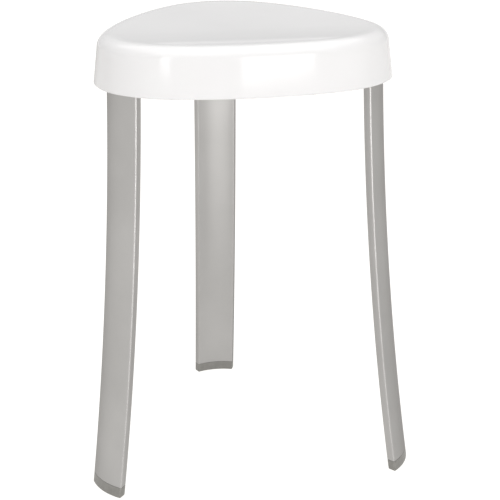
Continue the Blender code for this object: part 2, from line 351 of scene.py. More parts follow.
@dataclass(frozen=True)
class GlossPlastic:
    """Injection-moulded plastic: glossy, with a faint orange peel and hairline handling marks."""

    name: str
    pale: Colour
    deep: Colour
    roughness: float = 0.07
    peel_per_metre: float = 420.0
    peel_height: float = 0.00001
    marks_per_metre: float = 60.0

    def make(self) -> bpy.types.Material:
        """Builds the material.

        Returns:
            The material.
        """
        bench = PaintBench(self.name)
        place = bench.object_place()
        cloud = bench.noise(place, 9.0, 3.0)
        peel = bench.noise(place, self.peel_per_metre, 2.0)
        swept = bench.stretched(place, Vector((1.0, 0.12, 1.0)))
        marks = bench.noise(swept, self.marks_per_metre, 6.0)
        worn = marks.ramp(0.52, 0.72)
        colour = bench.blend(cloud.ramp(0.25, 0.75), self.pale, self.deep)
        roughness = self.roughness + worn * 0.012 + (cloud - 0.5) * 0.02
        return bench.dress(colour, roughness, peel, self.peel_height, {"IOR": 1.49})


@dataclass(frozen=True)
class SatinAluminium:
    """Satin anodised extrusion: fine die lines along its length over a very fine etched grain."""

    name: str
    pale: Colour
    deep: Colour
    roughness: float = 0.385
    edge_tint: Colour = (0.52, 0.52, 0.515)
    lines_per_metre: float = 1500.0
    bands_per_metre: float = 130.0
    line_height: float = 0.000004
    grains_per_metre: float = 5200.0

    def make(self) -> bpy.types.Material:
        """Builds the material.

        Returns:
            The material.
        """
        bench = PaintBench(self.name)
        sheet = bench.sheet_place()
        drawn = bench.stretched(sheet, Vector((1.0, 0.012, 1.0)))
        lines = bench.noise(drawn, self.lines_per_metre, 3.0)
        rolled = bench.stretched(sheet, Vector((1.0, 0.03, 1.0)))
        bands = bench.noise(rolled, self.bands_per_metre, 2.0)
        cloud = bench.noise(bench.object_place(), 14.0, 3.0)
        etch = bench.grains(sheet, self.grains_per_metre).at_most(0.7)
        tone = (bands * 0.5 + cloud * 0.5 + (lines - 0.5) * 0.35).ramp(0.3, 0.7)
        colour = bench.blend(tone, self.pale, self.deep)
        roughness = self.roughness + (lines - 0.5) * 0.1 + (cloud - 0.5) * 0.06
        relief = lines * 0.75 + etch * 0.25
        uniform = {"Metallic": 1.0, "Specular Tint": (*self.edge_tint, 1.0)}
        return bench.dress(colour, roughness, relief, self.line_height, uniform)


@dataclass(frozen=True)
class TexturedMoulding:
    """Moulding with a fine spark-eroded texture, plain or with a pearl pigment in it."""

    name: str
    pale: Colour
    deep: Colour
    roughness: float
    pearl: float = 0.0
    texture_per_metre: float = 2400.0
    scuffs_per_metre: float = 180.0
    texture_height: float = 0.00003

    def make(self) -> bpy.types.Material:
        """Builds the material.

        Returns:
            The material.
        """
        bench = PaintBench(self.name)
        place = bench.object_place()
        texture = bench.noise(place, self.texture_per_metre, 3.0)
        scuff = bench.noise(place, self.scuffs_per_metre, 4.0)
        colour = bench.blend((scuff * 0.7 + texture * 0.3).ramp(0.35, 0.65), self.pale, self.deep)
        roughness = self.roughness + (scuff - 0.5) * 0.16
        uniform = {"IOR": 1.45, "Metallic": self.pearl}
        return bench.dress(colour, roughness, texture, self.texture_height, uniform)


@dataclass(frozen=True)
class TurnedSteel:
    """Bright stainless steel with fine machining rings and small handling scratches."""

    name: str
    pale: Colour
    deep: Colour
    roughness: float = 0.27
    ring_pitch: float = 0.00016
    ring_height: float = 0.000004

    def make(self) -> bpy.types.Material:
        """Builds the material.

        Returns:
            The material.
        """
        bench = PaintBench(self.name)
        place = bench.object_place()
        scratches = bench.noise(bench.stretched(place, Vector((1.0, 0.1, 1.0))), 1800.0, 4.0)
        stain = bench.noise(place, 320.0, 3.0)
        flat = bench.stretched(place, Vector((1.0, 1.0, 0.0)))
        radius = Signal(bench, bench.vector("LENGTH", flat).outputs["Value"])
        rings = (radius * (2 * math.pi / self.ring_pitch)).sine() * 0.5 + 0.5
        colour = bench.blend(stain.ramp(0.35, 0.7), self.pale, self.deep)
        roughness = self.roughness + (scratches - 0.5) * 0.18 + (stain - 0.5) * 0.08
        relief = rings * 0.4 + scratches * 0.6
        return bench.dress(colour, roughness, relief, self.ring_height, {"Metallic": 1.0})


class Finish(Enum):
    """The finishes of the stool's pieces, each by the record's material slot."""

    SEAT = "white_plastic"
    LEG = "satin_aluminium"
    CAP = "grey_rubber"
    INSERT = "black_nylon"
    STEEL = "stainless_steel"

    def recipe(self) -> GlossPlastic | SatinAluminium | TexturedMoulding | TurnedSteel:
        """The recipe of this finish."""
        return RECIPES[self]

    def material(self) -> bpy.types.Material:
        """This finish's material, made when first asked for."""
        name = self.recipe().name
        return bpy.data.materials.get(name) or self.recipe().make()


RECIPES = {
    Finish.SEAT: GlossPlastic(
        "seat_gloss_white",
        pale=(0.69, 0.683, 0.683),
        deep=(0.672, 0.665, 0.665),
    ),
    Finish.LEG: SatinAluminium(
        "leg_satin_silver",
        pale=(0.494, 0.487, 0.478),
        deep=(0.438, 0.431, 0.422),
    ),
    Finish.CAP: TexturedMoulding(
        "cap_matt_grey",
        pale=(0.275, 0.269, 0.253),
        deep=(0.245, 0.24, 0.226),
        roughness=0.42,
        pearl=0.7,
    ),
    Finish.INSERT: TexturedMoulding(
        "insert_black_nylon",
        pale=(0.035, 0.035, 0.037),
        deep=(0.022, 0.022, 0.024),
        roughness=0.48,
    ),
    Finish.STEEL: TurnedSteel(
        "fastener_bright_steel",
        pale=(0.66, 0.65, 0.63),
        deep=(0.55, 0.545, 0.53),
    ),
}


# ------------------------------------------------------------------ mesh making


@dataclass
class Form:
    """A mesh under construction, made of closed skins through rings of points."""

    name: str
    shape: bmesh.types.BMesh = field(default_factory=bmesh.new)

    def skin(self, rings: Sequence[Ring], endless: bool = False) -> None:
        """Adds a closed skin.

        Args:
            rings: Rings of points in order, all of one length. A ring of one point is a tip.
            endless: True joins the last ring to the first, and False caps both ends.
        """
        layer = self.shape.loops.layers.uv.verify()
        loops = [[self.shape.verts.new(point) for point in ring] for ring in rings]
        walks = lengths_along(rings)
        pairs = [(i, i + 1) for i in range(len(loops) - 1)]
        if endless:
            pairs.append((len(loops) - 1, 0))
        for one, other in pairs:
            self._band(layer, loops, walks, (one, other))
        if not endless:
            for loop in (loops[0], loops[-1]):
                if len(loop) > 1:
                    self.shape.faces.new(loop)

    def _band(
        self,
        layer: bmesh.types.BMLayerItem,
        loops: list[list[bmesh.types.BMVert]],
        walks: list[tuple[list[float], float]],
        pair: tuple[int, int],
    ) -> None:
        """Adds the faces between two rings, laid out flat in metres.

        Args:
            layer: The layer that holds the flat layout.
            loops: The vertices of all rings.
            walks: For each ring, how far round it each point is, and how far along the skin it is.
            pair: The places of the two rings.
        """
        one, other = (loops[i] for i in pair)
        (round_one, along_one), (round_other, along_other) = (walks[i] for i in pair)
        count = max(len(one), len(other))
        for i in range(count):
            j = (i + 1) % count
            corners = [(one, round_one, along_one, i), (one, round_one, along_one, j)]
            corners += [(other, round_other, along_other, j), (other, round_other, along_other, i)]
            if len(one) == 1:
                corners = [corners[0], corners[2], corners[3]]
            elif len(other) == 1:
                corners = corners[:3]
            face = self.shape.faces.new([loop[k % len(loop)] for loop, _, _, k in corners])
            for corner, (_, around, along, k) in zip(face.loops, corners):
                place = k if k or i == 0 else count
                corner[layer].uv = (around[min(place, len(around) - 1)], along)

    def finish(self) -> bpy.types.Mesh:
        """Turns the form into a mesh with outward normals and smooth round faces.

        Returns:
            The mesh.
        """
        bmesh.ops.recalc_face_normals(self.shape, faces=self.shape.faces)
        mesh = bpy.data.meshes.new(self.name)
        self.shape.to_mesh(mesh)
        self.shape.free()
        mesh.shade_smooth()
        mesh.set_sharp_from_angle(angle=SMOOTH_ANGLE)
        return mesh


def lengths_along(rings: Sequence[Ring]) -> list[tuple[list[float], float]]:
    """Measures rings for a flat layout.

    Args:
        rings: The rings of a skin.

    Returns:
        For each ring, the distance round it of each point and of its closing, and its distance
        along the skin.
    """
    along = 0.0
    walks = []
    for place, ring in enumerate(rings):
        if place:
            along += (ring[0] - rings[place - 1][0]).length
        steps = [(ring[(i + 1) % len(ring)] - ring[i]).length for i in range(len(ring))]
        walks.append(([sum(steps[:i]) for i in range(len(steps) + 1)], along))
    return walks


def at_height(outline: Iterable[Vector], height: float) -> Ring:
    """A flat outline lifted to a height."""
    return [Vector((point.x, point.y, height)) for point in outline]


def circle(radius: float, steps: int) -> Ring:
    """A circle of points around the Z axis."""
    angles = [2 * math.pi * i / steps for i in range(steps)]
    return [Vector((radius * math.cos(a), radius * math.sin(a), 0.0)) for a in angles]


def hexagon(radius: float, steps: int) -> Ring:
    """A hexagon's outline, divided so that it can be skinned to a circle.

    Args:
        radius: The distance of its corners from the middle.
        steps: How many points it gets, a multiple of six.

    Returns:
        The points.
    """
    corners = circle(radius, 6)
    each = steps // 6
    sides = zip(corners, corners[1:] + corners[:1])
    return [one.lerp(other, i / each) for one, other in sides for i in range(each)]


def arc(centre: Vector, radius: float, start: float, end: float, steps: int) -> Ring:
    """Points along an arc.

    Args:
        centre: The arc's centre.
        radius: Its radius.
        start: Its first direction, from +Y towards +X.
        end: Its last direction.
        steps: How many parts it is divided into.

    Returns:
        The points, both ends included.
    """
    turns = [start + (end - start) * i / steps for i in range(steps + 1)]
    return [centre + radius * Vector((math.sin(t), math.cos(t), 0.0)) for t in turns]


# ------------------------------------------------------------------ pieces in the frame


@dataclass(frozen=True)
class Stand:
    """Where the stool stands in the frame: its axis, and the frames of its three legs."""

    axis: Vector
    angles: Mapping[str, float] = field(default_factory=lambda: dict(LEG_TURNS))

    @classmethod
    def from_record(cls, record: Mapping) -> Stand:
        """Finds the axis as the middle of the three soles.

        Args:
            record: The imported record.

        Returns:
            The stand.
        """
        soles = [Vector(mount["pos_m"]) for mount in record["mounts"]]
        return cls(sum(soles, Vector()) / len(soles))

    def seat_frame(self) -> Matrix:
        """The frame on the axis at floor level."""
        return Matrix.Translation(self.axis)

    def leg_frame(self, side: str) -> Matrix:
        """The frame of one leg."""
        return self.seat_frame() @ Matrix.Rotation(self.angles[side], 4, "Z")


def place_piece(
    name: str,
    mesh: bpy.types.Mesh,
    finish: Finish,
    frame: Matrix,
    stands_for: Sequence[str],
) -> bpy.types.Object:
    """Puts a piece on the stool.

    Args:
        name: The piece's name.
        mesh: Its mesh, in its own frame.
        finish: Its finish.
        frame: Where its own frame is.
        stands_for: The CAD nodes that it replaces.

    Returns:
        The piece.
    """
    if not mesh.materials:
        mesh.materials.append(finish.material())
    piece = bpy.data.objects.new(name, mesh)
    bpy.context.scene.collection.objects.link(piece)
    piece.matrix_world = frame
    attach(piece, ROOT)
    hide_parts(*stands_for)
    log.info("%s: %d faces, for %s", name, len(mesh.polygons), ", ".join(stands_for))
    return piece


def dress_node(node: bpy.types.Object, finish: Finish) -> None:
    """Gives a carried-over CAD node its finish.

    Args:
        node: The CAD node's object.
        finish: Its finish.
    """
    for slot in node.material_slots:
        slot.material = finish.material()
    log.info("%s: carried over as %s", node.name, finish.value)


# ------------------------------------------------------------------ seat


@dataclass
class SeatShell:
    """The moulded seat: dished top, rounded rim, drafted skirt, and ribs and sockets underneath.

    The outline is a circle of mean_reach with a cosine added for each of its lobes, as a count
    round the seat and a size.
    """

    top: float = 0.450
    depth: float = 0.046
    mean_reach: float = 0.1422
    lobes: tuple[tuple[int, float], ...] = ((3, 0.0131), (6, -0.0018), (9, 0.0005))
    draft: float = math.radians(7.1)
    rim_radius: float = 0.0128
    dish_depth: float = 0.006
    dish_rollover: float = 0.007
    wall: float = 0.003
    edge_radius: float = 0.001
    outline_steps: int = 216
    edge_steps: int = 4
    skirt_steps: int = 8
    rim_steps: int = 14
    dish_steps: int = 26
    dish_crowding: float = 1.7
    rib_ring_radii: tuple[float, float] = (0.038, 0.085)
    rib_root: float = 0.0024
    rib_tip: float = 0.0018
    rib_edge: float = 0.438
    rib_short_of_leg: float = 0.0145
    rib_side_end: float = 0.1205
    rib_steps: int = 12
    ring_steps: int = 96
    gate_radius: float = 0.0032
    gate_stub: float = 0.0011
    pin_radius: float = 0.0036
    pin_mark: float = 0.0003
    pin_circle: float = 0.062
    pins: int = 6

    @property
    def skirt_edge(self) -> float:
        """Height of the skirt's lower edge."""
        return self.top - self.depth

    @property
    def rim_centre(self) -> float:
        """Height of the centre of the rim's rounding."""
        return self.top - self.rim_radius

    @property
    def crest_inset(self) -> float:
        """How far the rim's crest stands in from the skirt's lower edge."""
        return (self.rim_centre - self.skirt_edge) * math.tan(self.draft) + self.rim_radius

    def outline(self, inset: float) -> Ring:
        """The seat's rounded triangle, moved in.

        Args:
            inset: How far it is moved in from the skirt's lower edge.

        Returns:
            Points of the outline. The first is at the back corner.
        """
        points = []
        for i in range(self.outline_steps):
            angle = 2 * math.pi * i / self.outline_steps
            lobes = sum(size * math.cos(n * angle) for n, size in self.lobes)
            reach = self.mean_reach - inset + lobes
            slope = -sum(n * size * math.sin(n * angle) for n, size in self.lobes)
            outwards = Vector((-math.sin(angle), math.cos(angle), 0.0))
            along = Vector((-math.cos(angle), -math.sin(angle), 0.0))
            points.append(outwards * reach + along * slope)
        return points

    def dish_drop(self, share: float) -> float:
        """How far the dish lies below the crest.

        Args:
            share: Distance from the middle as a share of the distance to the crest.

        Returns:
            The drop. It starts level at the crest, steepens over a short roll-over and then fades
            inwards.
        """
        roll = self.dish_rollover / self.mean_reach
        inwards = 1.0 - share
        steepest = 2.0 * self.dish_depth
        if inwards < roll:
            return steepest * inwards * inwards / (2 * roll)
        left = 1.0 - roll
        gone = inwards - roll
        return steepest * (roll / 2 + gone - gone * gone / (2 * left))

    def surface(self, depth: float) -> list[Ring]:
        """The seat's surface at a depth below its outside.

        Args:
            depth: How deep the surface lies.

        Returns:
            Rings from above the skirt's edge up to the crest and in to the middle of the dish.
        """
        rings = []
        lowest = self.skirt_edge + self.edge_radius
        rise = self.rim_centre - self.skirt_edge - self.edge_radius
        for i in range(self.skirt_steps + 1):
            height = lowest + rise * i / self.skirt_steps
            inset = depth + (height - self.skirt_edge) * math.tan(self.draft)
            rings.append(at_height(self.outline(inset), height))
        radius = self.rim_radius - depth
        for i in range(1, self.rim_steps + 1):
            angle = self.draft + (math.pi / 2 - self.draft) * i / self.rim_steps
            inset = self.crest_inset - radius * math.cos(angle)
            rings.append(at_height(self.outline(inset), self.rim_centre + radius * math.sin(angle)))
        crest = self.outline(self.crest_inset)
        for i in range(1, self.dish_steps + 1):
            share = 1.0 - (i / self.dish_steps) ** self.dish_crowding
            height = self.top - depth - self.dish_drop(share)
            ring = [point * share for point in crest] if i < self.dish_steps else [Vector()]
            rings.append(at_height(ring, height))
        return rings

    def edge_rings(self) -> list[Ring]:
        """The rounded lower edge of the skirt, from its inside to its outside.

        Returns:
            Rings round the edge.
        """
        rings = []
        middle = self.wall / 2
        flat = middle - self.edge_radius
        for side, start, end in ((1, math.pi / 2, math.pi), (-1, math.pi, math.pi * 1.5)):
            for i in range(self.edge_steps + 1):
                turn = start + (end - start) * i / self.edge_steps
                inset = middle + side * flat + self.edge_radius * math.sin(turn)
                height = self.skirt_edge + self.edge_radius * (1 + math.cos(turn))
                rings.append(at_height(self.outline(inset), height))
        return rings

    def crest_reach(self, x: float, y: float) -> float:
        """Distance of the crest from the axis, in the direction of a place.

        Args:
            x: Across the stool.
            y: Towards the back.

        Returns:
            The distance.
        """
        crest = self.outline(self.crest_inset)
        bearing = math.atan2(-x, y)
        turns = [math.atan2(-point.x, point.y) - bearing for point in crest]
        gaps = [abs(math.remainder(turn, 2 * math.pi)) for turn in turns]
        near, far = sorted(range(len(crest)), key=gaps.__getitem__)[:2]
        share = gaps[near] / (gaps[near] + gaps[far])
        return crest[near].length * (1 - share) + crest[far].length * share

    def under_side(self, x: float, y: float) -> float:
        """Height of the under side of the top plate or of its rim.

        Args:
            x: Across the stool.
            y: Towards the back.

        Returns:
            The height.
        """
        crest, reach = self.crest_reach(x, y), math.hypot(x, y)
        if reach <= crest:
            return self.top - self.wall - self.dish_drop(reach / crest)
        radius = self.rim_radius - self.wall
        return self.rim_centre + math.sqrt(max(radius**2 - (reach - crest) ** 2, 0.0))

    def straight_rib(self, form: Form, angle: float, start: float, end: float) -> None:
        """Adds a straight rib under the plate.

        Args:
            form: The form it is added to.
            angle: The rib's direction from the axis.
            start: Where it starts, from the axis.
            end: Where it ends.
        """
        turn = Matrix.Rotation(angle, 4, "Z")
        rings = []
        for i in range(self.rib_steps + 1):
            reach = start + (end - start) * i / self.rib_steps
            foot = turn @ Vector((0.0, reach, 0.0))
            plate = self.under_side(foot.x, foot.y) + self.wall / 2
            rings.append([turn @ Vector((x, reach, z)) for x, z in self.rib_section(plate)])
        form.skin(rings)

    def rib_section(self, plate: float) -> list[tuple[float, float]]:
        """A rib's section, drafted and rounded at its edge.

        Args:
            plate: The height at which the rib ends inside the plate.

        Returns:
            Points (across, height) round the section.
        """
        half, tip, edge = self.rib_root / 2, self.rib_tip / 2, self.rib_edge
        soft = tip * 0.6
        right = [(half, plate), (tip, edge + soft)]
        right += [(tip * 0.8, edge + soft * 0.3), (tip * 0.4, edge)]
        return right + [(-x, z) for x, z in reversed(right)]

    def ring_rib(self, form: Form, radius: float) -> None:
        """Adds a circular rib under the plate.

        Args:
            form: The form it is added to.
            radius: The radius of its middle line.
        """
        columns = []
        for i in range(self.ring_steps):
            angle = 2 * math.pi * i / self.ring_steps
            x, y = -math.sin(angle), math.cos(angle)
            section = self.rib_section(self.under_side(radius * x, radius * y) + self.wall / 2)
            outwards = Vector((x, y, 0.0))
            columns.append([outwards * (radius + dx) + Vector((0.0, 0.0, z)) for dx, z in section])
        form.skin([list(ring) for ring in zip(*columns)], endless=True)

    def moulding_marks(self, form: Form) -> None:
        """Adds the gate's stub and the ejector pins' witness discs under the plate.

        Args:
            form: The form they are added to.
        """
        marks = [(Vector(), self.gate_radius, self.gate_stub)]
        for i in range(self.pins):
            angle = math.pi / 6 + math.pi / 3 * i
            place = Vector((math.cos(angle), math.sin(angle), 0.0)) * self.pin_circle
            marks.append((place, self.pin_radius, self.pin_mark))
        for place, radius, drop in marks:
            under = self.under_side(place.x, place.y)
            levels = [(radius, under + self.wall / 3), (radius, under - drop * 0.6)]
            levels.append((radius * 0.9, under - drop))
            form.skin([[place + p for p in at_height(circle(r, 32), z)] for r, z in levels])

    def build(self, stand: Stand, leg: BentLeg) -> None:
        """Builds the seat and puts it on the stool.

        Args:
            stand: Where the stool stands.
            leg: The legs that its sockets hold.
        """
        form = Form("seat_moulding")
        outside, inside = self.surface(0.0), self.surface(self.wall)
        form.skin([*inside[::-1], *self.edge_rings(), *outside])
        for radius in self.rib_ring_radii:
            self.ring_rib(form, radius)
        hub = self.rib_ring_radii[0]
        leg_end = leg.reach(leg.screw_height) - self.rib_short_of_leg
        for angle in stand.angles.values():
            self.straight_rib(form, angle, hub, leg_end)
            self.straight_rib(form, angle + math.pi, hub, self.rib_side_end)
            leg.socket(form, Matrix.Rotation(angle, 4, "Z"), self.under_side, self.wall / 2)
        self.moulding_marks(form)
        place_piece("seat_moulding", form.finish(), Finish.SEAT, stand.seat_frame(), ["seat_shell"])


# ------------------------------------------------------------------ legs


@dataclass
class BentLeg:
    """A leg: an arched hollow extrusion, bent to one radius, with a flush cap on its foot."""

    width: float = 0.0462
    thickness: float = 0.0085
    arch_rise: float = 0.00435
    wall: float = 0.0016
    outer_corner: float = 0.0015
    inner_corner: float = 0.0010
    least_corner: float = 0.0004
    bend_radius: float = 3.5
    apex_height: float = 0.5215
    apex_reach: float = 0.1432
    top: float = 0.434
    gap: float = 0.0003
    cap_height: float = 0.0112
    plug_length: float = 0.020
    plug_wall: float = 0.0014
    sole_radius: float = 0.0016
    rim_break: tuple[float, float] = (0.00025, 0.0003)
    socket_wall: float = 0.0025
    socket_side_share: float = 0.8
    socket_chamfer: float = 0.0006
    socket_bottom: float = 0.408
    screw_height: float = 0.419
    path_steps: int = 40
    arch_steps: int = 20
    corner_steps: int = 6
    sole_steps: int = 6

    @property
    def arch_radius(self) -> float:
        """Radius of the outer face, across the leg."""
        return (self.width**2 / 4 + self.arch_rise**2) / (2 * self.arch_rise)

    @property
    def arch_half_angle(self) -> float:
        """Half the angle that the section spans, out to its flat sides.

        Returns:
            The angle, in radians.
        """
        centre = self.arch_radius - self.outer_corner
        corner = math.asin(self.outer_corner / centre)
        return math.asin((self.width / 2 - self.outer_corner) / centre) + corner

    @property
    def socket_face(self) -> float:
        """Where the socket's flat inner face lies on a station's Y."""
        return -self.thickness - self.socket_wall - self.arch_rise

    def lean(self, height: float) -> float:
        """How far the leg leans from upright at a height."""
        return math.asin((self.apex_height - height) / self.bend_radius)

    def reach(self, height: float) -> float:
        """Distance of the outer face's middle line from the axis at a height."""
        return self.apex_reach + self.bend_radius * (1 - math.cos(self.lean(height)))

    def station(self, height: float) -> Matrix:
        """A frame on the middle line: X across the leg, Y out of its outer face, Z up along it."""
        place = Matrix.Translation((0.0, self.reach(height), height))
        return place @ Matrix.Rotation(self.lean(height), 4, "X")

    def section(self, inset: float) -> Ring:
        """The leg's section, moved in.

        Args:
            inset: How far it is moved in. A negative inset moves it out.

        Returns:
            Points round the section, from the middle of the outer face.
        """
        outer, inner = self.arch_radius - inset, self.arch_radius - self.thickness + inset
        round_out = max(self.outer_corner - inset, self.least_corner)
        round_in = max(self.inner_corner - inset, self.least_corner)
        half = self.arch_half_angle
        span_out = half - math.asin((inset + round_out) / (outer - round_out))
        span_in = half - math.asin((inset + round_in) / (inner + round_in))
        side = half + math.pi / 2
        steps = self.arch_steps // 2
        points = arc(Vector(), outer, 0.0, span_out, steps)[:-1]
        corner = arc(Vector(), outer - round_out, span_out, span_out, 1)[0]
        points += arc(corner, round_out, span_out, side, self.corner_steps)
        corner = arc(Vector(), inner + round_in, span_in, span_in, 1)[0]
        points += arc(corner, round_in, side, span_in + math.pi, self.corner_steps)
        points += arc(Vector(), inner, span_in, 0.0, steps)[1:]
        mirrored = [Vector((-p.x, p.y, 0.0)) for p in reversed(points[1:-1])]
        return [p - Vector((0.0, self.arch_radius, 0.0)) for p in points + mirrored]

    def square_ring(self, inset: float, height: float) -> Ring:
        """The outline of a cut square to the bend."""
        station = self.station(height)
        return [station @ point for point in self.section(inset)]

    def level_ring(self, inset: float, height: float) -> Ring:
        """The outline of a level cut."""
        along = self.station(height).to_3x3() @ Vector((0.0, 0.0, 1.0))
        return [p + along * ((height - p.z) / along.z) for p in self.square_ring(inset, height)]

    def wall_rings(self, inset: float) -> list[Ring]:
        """Rings of one face of the wall.

        Args:
            inset: How deep the face lies in the section.

        Returns:
            Rings from the level cut at the foot to the square cut at the top.
        """
        low, steps = self.cap_height + self.gap, self.path_steps
        heights = [low + (self.top - low) * i / steps for i in range(1, steps + 1)]
        return [self.level_ring(inset, low)] + [self.square_ring(inset, z) for z in heights]

    def tube_mesh(self) -> bpy.types.Mesh:
        """The extrusion, cut level over the cap and square at its top, and open at both ends.

        Returns:
            The mesh.
        """
        form = Form("leg_tube")
        outside, inside = self.wall_rings(0.0), self.wall_rings(self.wall)
        form.skin([*outside, *inside[::-1]], endless=True)
        return form.finish()

    def cap_mesh(self) -> bpy.types.Mesh:
        """The foot cap: a rounded sole, a flush head and a hollow plug.

        Returns:
            The mesh.
        """
        form = Form("foot_cap")
        fit, head = self.wall + self.gap, self.cap_height
        plug_top = head + self.plug_length
        profile = []
        for i in range(self.sole_steps + 1):
            turn = math.pi / 2 * i / self.sole_steps
            inset = self.sole_radius * (1 - math.sin(turn))
            profile.append((inset, self.sole_radius * (1 - math.cos(turn))))
        broken, below = self.rim_break
        profile += [(0.0, head - below), (broken, head), (fit, head), (fit, plug_top)]
        profile += [(fit + self.plug_wall, plug_top), (fit + self.plug_wall, head)]
        form.skin([self.level_ring(inset, height) for inset, height in profile])
        return form.finish()

    def socket_outline(self) -> Ring:
        """The socket's outer outline: parallel to the leg outside, and flat where the washers bear.

        Returns:
            Points that pair with those of the leg's section.
        """
        side_wall = self.socket_wall * self.socket_side_share
        points = []
        for near, far in zip(self.section(-self.gap), self.section(-self.gap - side_wall)):
            points.append(Vector((far.x, self.socket_face if far.y < near.y else far.y, 0.0)))
        return points

    def socket(
        self,
        form: Form,
        turn: Matrix,
        ceiling: Callable[[float, float], float],
        sink: float,
    ) -> None:
        """Adds the seat's socket round the top of this leg.

        Args:
            form: The seat's form.
            turn: The leg's direction.
            ceiling: Gives the height of the under side that the socket grows from.
            sink: How far it runs into that.
        """
        station = self.station(self.screw_height)
        inner, outer = self.section(-self.gap), self.socket_outline()
        lip = [[p.lerp(q, share) for p, q in zip(inner, outer)] for share in (0.2, 0.8)]
        low = self.socket_bottom - self.screw_height
        soft = low + self.socket_chamfer
        levels = ((inner, soft), (lip[0], low), (lip[1], low), (outer, soft))
        rings = [[station @ p for p in at_height(outline, level)] for outline, level in levels]
        tops = []
        for ring in (rings[0], rings[-1]):
            tops.append([Vector((p.x, p.y, ceiling(p.x, p.y) + sink)) for p in ring])
        rings = [tops[0], *rings, tops[1]]
        form.skin([[turn @ p for p in ring] for ring in rings], endless=True)

    def build(self, stand: Stand) -> None:
        """Builds the three legs and caps and puts them on the stool.

        Args:
            stand: Where the stool stands.
        """
        tube, cap = self.tube_mesh(), self.cap_mesh()
        for side in stand.angles:
            frame = stand.leg_frame(side)
            place_piece(f"{side}_leg_tube", tube, Finish.LEG, frame, [f"{side}_leg"])
            place_piece(f"{side}_cap_moulding", cap, Finish.CAP, frame, [f"{side}_foot_cap"])


# ------------------------------------------------------------------ fasteners


